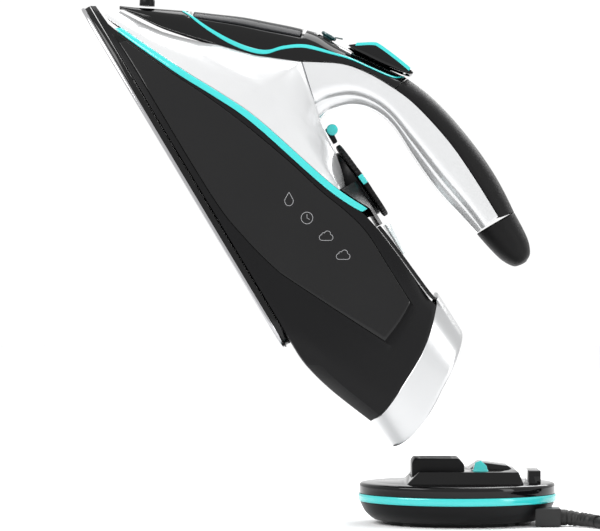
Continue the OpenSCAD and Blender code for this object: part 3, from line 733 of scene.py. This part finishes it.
COVER_F = [-90, -74, -58, -46, -26, -10, 10, 26, 46, 58, 74, 90]
COVER_CELLS = 8
FILL_HOLE, SPRAY_HOLE = (24, 60, 12, 32), (64, 72, 16, 28)


def cover_skin(ts, angles, outer, inner, holes=()):
    return skin_mesh([[cover_at(t, f, outer) for f in angles] for t in ts],
                     [[cover_at(t, f, inner) for f in angles] for t in ts], holes)


def cover_piece(name, t0, t1, finish, node, holes=()):
    """Cover from t0 to t1; holes count its cells along and across."""
    n = round((t1 - t0) * COVER_CELLS)
    ts = [lerp(t0, t1, k / n) for k in range(n + 1)]
    make(name, cover_skin(ts, steps(COVER_F, 4), 0, WALL, holes), finish, "iron", [node], bevel=0.3)


cover_piece("top_cover_moulding", 0, 13, GLOSS, "top_cover", [FILL_HOLE, SPRAY_HOLE])
cover_piece("handle_cover_moulding", 13.04, 20, SOFT, "handle_cover")

TRIM = [(2.8, 20), (3.3, 48), (3.9, 66), (4.7, 78), (5.6, 84), (6.4, 83), (7, 71), (7.8, 62),
        (9, 65), (10, 66), (11, 66), (12, 54), (12.8, 22)]


def trim_row(t, out):
    """Row across the pinstripe, which lies on the cover along TRIM."""
    p, f = along(TRIM, t)
    spread = (-3.5, -2.8, 0, 2.8, 3.5)
    lift = (0.35, 0.62, 0.7, 0.62, 0.35) if out else (0.15,) * 5
    return [cover_at(p, f + d, -v) for d, v in zip(spread, lift)]


trim_t = [k / 10 for k in range(121)]
trim_shape = skin_mesh([trim_row(t, True) for t in trim_t], [trim_row(t, False) for t in trim_t])
both_sides(("pinstripe", trim_shape, TEAL, "trim_line", 0))

lid_ts = [3.2 + k * 4.16 / 40 for k in range(41)]
lid_fs = [-42 + 84 * k / 28 for k in range(29)]
make("fill_lid", cover_skin(lid_ts, lid_fs, 0, 1.8), SMOKE, "fill_door", ["fill_door"], bevel=0.45)

# dark seat under the lid, open in its middle over the filling funnel
lid_seat_ts = [2.8 + k * 0.1 for k in range(51)]
lid_seat_fs = [-50 + 5 * k for k in range(21)]
make("lid_seat", cover_skin(lid_seat_ts, lid_seat_fs, 2.6, 3.4, [(24, 40, 7, 13)]),
     GLOSS, "iron", bevel=0)

# ---- controls -------------------------------------------------------------------------------

SPRAY = slope(91.7, 114.4, -28)
make("spray_nozzle_tip", lathe([(0.05, 0), (4.6, 0), (4.6, 3.4), (4.2, 4.2), (3.5, 4.5), (3.4, 5.6),
                                (2.7, 7.0), (1.4, 7.8), (0.9, 7.9), (0.75, 7.2), (0.05, 7.2)], 48),
     BLACK, "iron", ["spray_nozzle"], slope(17.5, 35, -56), 0.15)
make("spray_knob", lathe([(0.05, -7), (2, -7), (2, 0), (3.4, 0), (3.4, 4.3), (4.4, 4.5), (4.95, 5),
                          (5, 5.9), (4.5, 6.4), (3, 6.55), (0.05, 6.3)], 56),
     TEAL_DARK, "spray_button", ["spray_button"], SPRAY, 0.12)

LEVER_TOP = [(102.5, 131), (107, 139.2), (110.7, 142), (122, 146.6), (133, 150.6), (134.5, 149.2)]
LEVER = [(101.9, 129.9), *LEVER_TOP, (130, 147.9), (117, 140.9), (105, 132.2)]
LEVER_SKIRT = [(100.6, 125.8), *LEVER_TOP, (131, 145.6), (118.6, 135.9), (105.6, 127.6)]
LEVER_MID = [(99.5, 126.5), (104, 130.5), (110.7, 138), (122, 144), (134.5, 149.7)]
LEVER_HALF = 13.5


def lever_shape():
    """Wing of the lever: hollow over the cover in its middle, with a lower skirt at both sides."""
    right = [(10.6, 0), (11, 1), (12.4, 0.97), (13.2, 0.85), (LEVER_HALF, 0.6)]
    rings = []
    for y, shrink in [(-y, k) for y, k in right[::-1]] + right:
        ring = []
        for x, z in smooth(LEVER_SKIRT if shrink else LEVER, 3):
            mid = lookup(x, LEVER_MID)
            ring.append((x, y, mid + (z - mid) * (shrink or 1)))
        rings.append(ring)
    return loft_mesh(rings)


make("lever_wing", lever_shape(), GLOSS, "steam_lever", ["steam_lever"], bevel=0.2)
edge_line = smooth([(102.1, 130.5), (102.8, 131.6), (107.2, 139.5), (110.8, 142.2), (121.9, 146.8),
                    (131.5, 150.2)], 5)
edge_rings = []
for y in [-13.7 + 27.4 * k / 24 for k in range(25)]:
    edge_rings.append([(x + 0.7, y, z - 1.3) for x, z in edge_line]
                      + [(x - 0.3, y, z + 0.4) for x, z in edge_line[::-1]])
make("lever_teal_edge", loft_mesh(edge_rings), TEAL, "steam_lever", bevel=0.15)

knob = placed(138.5, 0, 91.8, turn(90, "X"))
make("selector_knob",
     lathe([(0.05, -7), (2.9, -7), (3.4, -6.4), (3.4, 6.4), (2.9, 7), (0.05, 7)], 40),
     TEAL, "steam_selector", ["steam_selector"], IRON @ knob, 0.1)


def wedge(x0, x1, half_w, low, high):
    """Small block between x0 and x1 in the side view, from low to high at each end."""
    return loft_mesh([[(x, -half_w, z0), (x, half_w, z0), (x, half_w, z1), (x, -half_w, z1)]
                      for x, z0, z1 in ((x0, low[0], high[0]), (x1, low[1], high[1]))])


make("selector_foot", wedge(136, 146.2, 5.4, (88.4, 88.2), (92, 91)), BLACK, "steam_selector",
     bevel=0.5)
make("spray_spur", wedge(3, 8.2, 1.7, (6.0, 7.8), (6.7, 8.7)), TEAL_DARK, "spray_button",
     place=SPRAY, bevel=0.4)

DIAL = slope(173.7, 90, -4)
DIAL_N, RIB_EVERY, RIB_DEEP, RIM_FROM = 288, 6, 0.35, 25
dial_rings = []
for r, z in [(0.05, 0), (20, 0), (24.6, 0), (25.4, 0.5), (25.5, 1.0), (25.5, 2.4), (25.3, 2.9),
             (24.7, 3.2), (18, 3.2), (12, 3.25), (8.4, 3.3), (8, 3.9), (7.4, 4.0), (0.05, 4.0)]:
    ring = []
    for k in range(DIAL_N):
        rib = -RIB_DEEP if k % RIB_EVERY in (0, 1) and r > RIM_FROM else 0
        a = 2 * math.pi * k / DIAL_N
        ring.append(((r + rib) * math.cos(a), (r + rib) * math.sin(a), z))
    dial_rings.append(ring)
make("dial_wheel", loft_mesh(dial_rings), SOFT, "dial", ["temperature_dial"], DIAL, 0)


make("dial_hub",
     lathe([(0.05, -0.5), (21.5, -0.5), (22.2, -1.1), (21, -6), (18.5, -13), (0.05, -13)], 96),
     BLACK, "iron", (), DIAL, 0.2)
mark = loft_mesh([[(x, y, z) for x, y in rounded_rect(6, 0.9, 0.4, 5)] for z in (0, 3)])
make("dial_mark", mark, TEAL, "dial", ["dial_pointer"], DIAL @ placed(0, -26.05, 0.2), 0.2)


HOUSING_TOP = 88.2


def housing_ring(x, t):
    z = band_z(min(x, BAND_S[-1])) + BAND_H + 1
    wl, top = half(x, z) - 1 - t, HOUSING_TOP - t
    side = smooth([(wl, z), (wl * 0.8, (z + top) / 2), (wl * 0.55, top), (0, top)], 6)
    return [(x, -y, v) for y, v in side] + [(x, y, v) for y, v in side[-2::-1]]


fine_housing = steps([172.4, 176, 179, 183, 187, 192, 197, 202], 3)
make("dial_seat", skin_mesh([housing_ring(x, 0) for x in fine_housing],
                            [housing_ring(x, WALL) for x in fine_housing]),
     BLACK, "iron", ["dial_housing"], bevel=0.3)

lens_top = smooth([(203.5, 92.4), (209, 91.8), (216, 91.2), (224, 90.4)], 5)
lens_rings = []
for x, z in lens_top:
    top = smooth([(30, 89.6), (28.5, 90.2), (21, z), (0, z + 0.3), (-21, z), (-28.5, 90.2),
                  (-30, 89.6)], 5)
    lens_rings.append([(x, y, v) for y, v in top] + [(x, y, 89.2) for y in (-30, 0, 30)])
make("rear_lens_clear", loft_mesh(lens_rings), CLEAR, "iron", ["rear_lens"], bevel=0.3)


def deck_ring(x, t):
    z = lookup(x, DECK) - 1.9
    w = half(x, z) - 0.1
    return [(x, w * k / 16, z + WALL - t + 0.8 * (1 - (k / 4) ** 2 / 16)) for k in range(-16, 17)]


fine_deck = steps([202.3, 206, 212, 220, 230, 240, 250, 255.5], 4)
make("rear_deck_panel",
     skin_mesh([deck_ring(x, 0) for x in fine_deck], [deck_ring(x, WALL) for x in fine_deck]),
     GLOSS, "iron", ["rear_deck"], bevel=0.4)
collar = [ellipse(r, r, z, 48) for r, z in ((6.6, -3), (6.6, 3.3), (5.6, 3.3), (5.6, -3))]
make("spray_collar", ring_wall(collar), GLOSS, "iron", (), SPRAY, 0.2)

# ---- heel and sole --------------------------------------------------------------------------


def heel_ring(f, inset):
    """Loop round the heel skirt, f of the way from the body's seam to its rim."""
    zc, hz = 58.5 + 1.5 * f, 37 - 0.8 * f - inset
    ring = []
    for k in range(144):
        a = math.radians(2.5 * k)
        sa, ca = math.sin(a), math.cos(a)
        q = math.copysign(abs(sa) ** 0.5, sa)
        c = math.copysign(abs(ca) ** 0.4, ca)
        z = zc + hz * q
        x = lookup(z, SEAM) + GAP + f * (lookup(z, RIM) - lookup(z, SEAM))
        ring.append((x, c * (half(HEEL_S, z) * (1 - 0.1 * f) - inset), z))
    return ring


heel_fs = [0, 0.02, 0.1, 0.2, 0.3, 0.4, 0.5, 0.6, 0.7, 0.8, 0.9, 0.97, 1]
make("heel_moulding",
     ring_wall([heel_ring(f, 0.35 if f in (0, 1) else 0) for f in heel_fs]
               + [heel_ring(f, WALL) for f in (1, 0.8, 0.6, 0.4, 0.2, 0)]),
     SKIRT, "iron", ["heel_skirt"], bevel=0)

SOLE_END, SOLE_BEND = 234, 0.92
# height above which the sole's metal is painted black: a painted dark reflection band along its
# edge
SOLE_REFLECTION_BAND_Z = 2.2
HOLE_INSET = 11


def sole_outline(grow):
    """Sole from above: the body's plan up to its bend, then a rounded heel."""
    nose = [SOLE_END * (k / 72) ** 1.6 * SOLE_BEND for k in range(73)]
    side = [(-grow, 0.3)] + [(s, plan(s) + grow) for s in nose]
    for k in range(1, 21):
        a = math.radians(4.5 * k)
        side.append((SOLE_BEND * SOLE_END + (0.08 * SOLE_END + grow) * math.sin(a),
                     (plan(SOLE_BEND * SOLE_END) + grow) * (0.72 + 0.28 * math.cos(a))))
    return side + [(x, -y) for x, y in side[::-1]]


sole_levels = [(0.3, 0), (0.9, 0.15), (1.2, 0.55), (1.2, 1.7), (1.0, 2.1), (0.3, 2.3), (0.15, 2.6),
               (0.2, 3.0), (0.2, 5.1), (0.05, 5.4)]
sole_rings = [[(x, y, z) for x, y in sole_outline(g)] for g, z in sole_levels]
sole = add_mesh("sole_metal", *loft_mesh(sole_rings), IRON)
hole = lathe([(0.05, 0), (2.9, 0), (2.3, 1.1), (1.55, 1.9), (1.5, 8), (0.05, 8)], 28)
spots = [IRON @ placed(s, side * (plan(s) - HOLE_INSET), -1)
         for s in range(34, 179, 18) for side in (-1, 1)]
steam_holes = join("steam_holes", [add_mesh("hole", *hole, spot) for spot in spots])
combine(sole, steam_holes, "DIFFERENCE")
finish_mesh(sole, 0)
sole.data.materials.append(STEEL)
# the sole's upper flange takes the black gloss as a painted reflection: a dark band on the same
# metal part, standing in for the dark reflection lines along the polished edge
sole.data.materials.append(GLOSS)
to_iron = IRON.inverted()
for poly in sole.data.polygons:
    poly.material_index = int((to_iron @ (poly.center / MM)).z > SOLE_REFLECTION_BAND_Z)
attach(sole, "iron")
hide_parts("soleplate")

# ---- docking base ---------------------------------------------------------------------------

DOCK_L, DOCK_W, DECK_Z = 119, 100, 25
RIM_IN, SEAT_IN = 10.02, 9.98
SEAT_LOW, SEAT_TOP = 22.8, 32.2


def oval(inset, z):
    return ellipse(DOCK_L / 2 - inset, DOCK_W / 2 - inset, z, 160)


def oval_wall(profile):
    """Wall round the base through (inset, z) points."""
    return ring_wall([oval(inset, z) for inset, z in profile])


shell_profile = smooth([(15, 2.2), (10, 2.6), (4.5, 7), (1.2, 13.3)], 6)
make("dock_body",
     oval_wall(shell_profile + [(1.6, 13.4), (3.6, 13.4), (6.6, 8), (11, 5), (15, 4.6)]),
     BLACK, "dock", ["dock_shell"], BASE, 0.2)
make("dock_teal_band",
     oval_wall([(1.2, 13.6), (0.5, 13.7), (0.1, 14.2), (0, 15), (0, 16.8), (0.1, 17.6), (0.5, 18.1),
                (1.2, 18.2), (3.4, 18.2), (3.4, 13.6)]),
     TEAL, "dock", ["dock_band"], BASE, 0)
rim = oval_wall([(0.9, 18.4), (0.8, 18.6), (0.8, 22.6), (0.9, 23.4), (1.3, 24.1), (2.0, 24.5),
                 (3.4, 24.75), (RIM_IN, DECK_Z), (RIM_IN, SEAT_LOW), (3.2, 22.2), (3, 18.4)])

seat = add_mesh("dock_seat", *loft_mesh([oval(SEAT_IN, z) for z in (SEAT_LOW, DECK_Z)]), BASE)
ramp = [(-31, 24), (-31, DECK_Z), (-24, SEAT_TOP), (35, SEAT_TOP), (38, DECK_Z), (38, 24)]
ridge = [(8, 32), (8, SEAT_TOP), (13.8, 36.2), (31, 34), (33, SEAT_TOP), (33, 32)]
for operation, shape in (
    ("UNION", prism(ramp, -28, 28)),
    ("UNION", prism(ridge, 2, 28)),
    ("UNION", box_mesh(42, -16, 24, 49, 16, SEAT_TOP)),
    ("DIFFERENCE", box_mesh(-20, -22, 10, 30, 22, 29.6)),
    ("DIFFERENCE", box_mesh(-28, -15, 20, 4, 15, 50)),
    ("DIFFERENCE", box_mesh(8, -20, 20, 18, -8, 40)),
):
    combine(seat, add_mesh("tool", *shape, BASE), operation)
finish_mesh(seat, 0.9, 25, 3)
seat.data.materials.append(GLOSS)
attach(seat, "dock")
make("dock_top_rim", rim, GLOSS, "dock", ["dock_cover"], BASE, 0)
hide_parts("dock_cover")


FLAT_DEG = 1


def softened(node, finish, body, bevel):
    """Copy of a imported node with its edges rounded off."""
    source = nodes[node]
    mesh = source.data.copy()
    obj = bpy.data.objects.new(f"{node}_soft", mesh)
    bpy.context.scene.collection.objects.link(obj)
    obj.matrix_world = source.matrix_world.copy()
    mesh.materials.clear()
    bm = bmesh.new()
    bm.from_mesh(mesh)
    bmesh.ops.remove_doubles(bm, verts=bm.verts, dist=WELD_M)
    bmesh.ops.dissolve_limit(bm, angle_limit=math.radians(FLAT_DEG), verts=bm.verts, edges=bm.edges)
    bm.to_mesh(mesh)
    bm.free()
    finish_mesh(obj, bevel, 30, 3)
    obj.data.materials.append(finish)
    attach(obj, body)
    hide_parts(node)


softened("dock_connector", BLACK, "dock", 0.8)
softened("dock_latch", TEAL, "dock_latch", 0.5)
softened("heel_plate", BLACK, "iron", 0.5)
softened("heel_socket", BLACK, "iron", 0.4)
softened("terminal_block", WHITE, "dock", 0.5)

# wire spring under the latch, flattened by it
SPRING_X, SPRING_Y, SPRING_FOOT = 13, -14, 19.6
SPRING_R, SPRING_H, WIRE_R = 2.8, 3.8, 0.35
SPRING_TURNS, PER_TURN = 5, 28


def spring_ring(k):
    """Section of the wire after k of the PER_TURN parts of a turn."""
    a = 2 * math.pi * k / PER_TURN
    centre = Vector((SPRING_X + SPRING_R * math.cos(a), SPRING_Y + SPRING_R * math.sin(a),
                     SPRING_FOOT + SPRING_H * k / (SPRING_TURNS * PER_TURN)))
    out = Vector((math.cos(a), math.sin(a), 0))
    return [tuple(centre + WIRE_R * (math.cos(b) * out + math.sin(b) * Vector((0, 0, 1))))
            for b in [2 * math.pi * m / 10 for m in range(10)]]


wire = [spring_ring(k) for k in range(SPRING_TURNS * PER_TURN + 1)]
spring = make("latch_spring_wire", loft_mesh(wire), NICKEL, "dock", ["latch_spring"], BASE, 0)
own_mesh(spring)

# strain relief, tapering along the first stretch of the lead
SLEEVE_LEN, SLEEVE_TAPER, SLEEVE_R0, SLEEVE_R1 = 27, 26, 4.9, 3.75
NOTCH, NOTCH_PITCH = 0.45, 1.6
CLEARANCE = 0.35


def sleeve_rings():
    """Notched rings along the lead, lifted where they would go under the floor."""
    line = [(59.0, -25.0, 5.4)] + smooth([BEFORE_START, START, *ROUTE], 6)[6:]
    rings, run = [], 0.0
    for i, point in enumerate(line[:-1]):
        p = Vector(point)
        ahead = (Vector(line[i + 1]) - p).normalized()
        u = ahead.cross(Vector((0, 0, 1))).normalized()
        v = u.cross(ahead)
        if i:
            run += (p - Vector(line[i - 1])).length
        if run > SLEEVE_LEN:
            break
        notch = NOTCH if 5 < run < 24 and int(run / NOTCH_PITCH) % 2 else 0
        r = lerp(SLEEVE_R0, SLEEVE_R1, min(1, run / SLEEVE_TAPER)) - notch
        lift = Vector((0, 0, max(0.0, r - (point[2] - CLEARANCE))))
        rings.append([tuple(p + r * (math.cos(a) * u + math.sin(a) * v) + lift)
                      for a in [2 * math.pi * k / 36 for k in range(36)]])
    return rings


make("strain_sleeve", loft_mesh(sleeve_rings()), RUBBER, "dock", (), BASE, 0)
softened("strain_relief", RUBBER, "dock", 0.6)

# ---- printed symbols on the left window: drop, clock, two clouds ----------------------------


MARK_R, MARK_OFF = 0.16, 0.04


def draped(x, z):
    """Point just off the left window for a place in the iron's side view."""
    low, high = 0.0, HEEL_S
    for _ in range(30):
        mid = (low + high) / 2
        low, high = (mid, high) if body_x(mid, z) < x else (low, mid)
    return x, -(half(low, z) + MARK_OFF), z


def symbol(name, cx, cz, outlines):
    """Fine line drawing laid on the window; each outline comes with whether it is closed."""
    curve = bpy.data.curves.new(name, "CURVE")
    curve.dimensions = "3D"
    curve.bevel_depth = MARK_R * MM
    curve.bevel_resolution = 2
    for outline, closed in outlines:
        line = curve.splines.new("POLY")
        line.points.add(len(outline) - 1)
        line.use_cyclic_u = closed
        for point, (dx, dz) in zip(line.points, outline):
            p = IRON @ Vector(draped(cx + dx, cz + dz))
            point.co = (*(p * MM), 1)
    obj = bpy.data.objects.new(name, curve)
    bpy.context.scene.collection.objects.link(obj)
    obj.data.materials.append(MARK)
    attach(obj, "iron")


def turned(points):
    """Screen-upright outline turned into the iron's side view."""
    c, s = math.cos(TILT), math.sin(TILT)
    return [(x * c - y * s, x * s + y * c) for x, y in points]


def arc(cx, cy, r, a0, a1, n):
    return [(cx + r * math.cos(math.radians(lerp(a0, a1, k / n))),
             cy + r * math.sin(math.radians(lerp(a0, a1, k / n)))) for k in range(n + 1)]


drop = smooth([(0, 4), (1.6, 1.2), (2.5, -1), (1.7, -3.2), (0, -3.9), (-1.7, -3.2), (-2.5, -1),
               (-1.6, 1.2), (0, 4)], 5)
dial_face, hands = arc(0, 0, 3.4, 0, 342, 38), [(0, 2.2), (0, 0), (1.6, -0.9)]
cloud = (arc(-2.2, -0.9, 1.7, 90, 270, 10) + arc(2.4, -0.9, 1.7, -90, 80, 10)
         + arc(0.9, 1.0, 1.9, 30, 150, 10) + arc(-1.4, 0.7, 1.2, 60, 160, 6))
symbol("mark_drop", 161.6, 48, [(turned(drop), True)])
symbol("mark_clock", 176.5, 51.3, [(turned(dial_face), True), (turned(hands), False)])
symbol("mark_cloud_a", 191.2, 55.4, [(turned(cloud), True)])
symbol("mark_cloud_b", 205.8, 58.2, [(turned(cloud), True)])

# ---- finishes of the nodes that stay as packed ----------------------------------------------

KEPT = {
    "steam_chamber": CAST, "heating_element": HEATER, "chamber_cover": CAST, "heat_shield": BOARD,
    "thermostat": BRASS, "dial_shaft": WHITE, "thermal_fuse": WHITE, "fill_door_pin": NICKEL,
    "fill_funnel": BLACK, "water_tank": SMOKE, "tank_lid": BLACK, "valve_rod": WHITE,
    "spray_pump": WHITE, "spray_spring": NICKEL, "lever_pin": NICKEL, "steam_pump": WHITE,
    "steam_spring": NICKEL, "control_board": BOARD, "dock_bottom": BLACK, "contact_pins": BRASS,
    "dock_feet": RUBBER,
}
for name, finish in KEPT.items():
    mesh = nodes[name].data
    mesh.materials.clear()
    mesh.materials.append(finish)

# ---- floor and light ------------------------------------------------------------------------


FLOOR_HALF_M = 4
SKY = (1, 1, 1, 1)
SKY_STRENGTH = 1.04


def make_floor():
    mesh = bpy.data.meshes.new("floor")
    h = FLOOR_HALF_M
    corners = [(-h, -h, 0), (h, -h, 0), (h, h, 0), (-h, h, 0)]
    mesh.from_pydata(corners, [], [(0, 1, 2, 3)])
    obj = bpy.data.objects.new("floor", mesh)
    bpy.context.scene.collection.objects.link(obj)
    obj.data.materials.append(FLOOR)


def area_light(name, spot, target, size, power):
    data = bpy.data.lights.new(name, "AREA")
    data.shape = "RECTANGLE"
    data.size, data.size_y = size
    data.energy = power
    obj = bpy.data.objects.new(name, data)
    obj.location = spot
    obj.rotation_euler = (Vector(target) - Vector(spot)).to_track_quat("-Z", "Y").to_euler()
    bpy.context.scene.collection.objects.link(obj)


make_floor()
area_light("key", (-1.0, -0.7, 1.1), (-0.08, 0, 0.18), (0.8, 0.6), 13)
area_light("top", (0.15, 0.25, 1.3), (-0.05, 0, 0.15), (1.0, 0.5), 9)
area_light("side", (0.9, -0.7, 0.35), (-0.05, 0, 0.12), (0.25, 0.9), 3.5)
area_light("back", (0.5, 1.0, 0.8), (-0.05, 0, 0.15), (0.8, 0.5), 7)

world = bpy.data.worlds.new("studio")
world.use_nodes = True
background = world.node_tree.nodes["Background"]
background.inputs["Color"].default_value = SKY
background.inputs["Strength"].default_value = SKY_STRENGTH
bpy.context.scene.world = world
bpy.context.scene.view_settings.view_transform = "Standard"
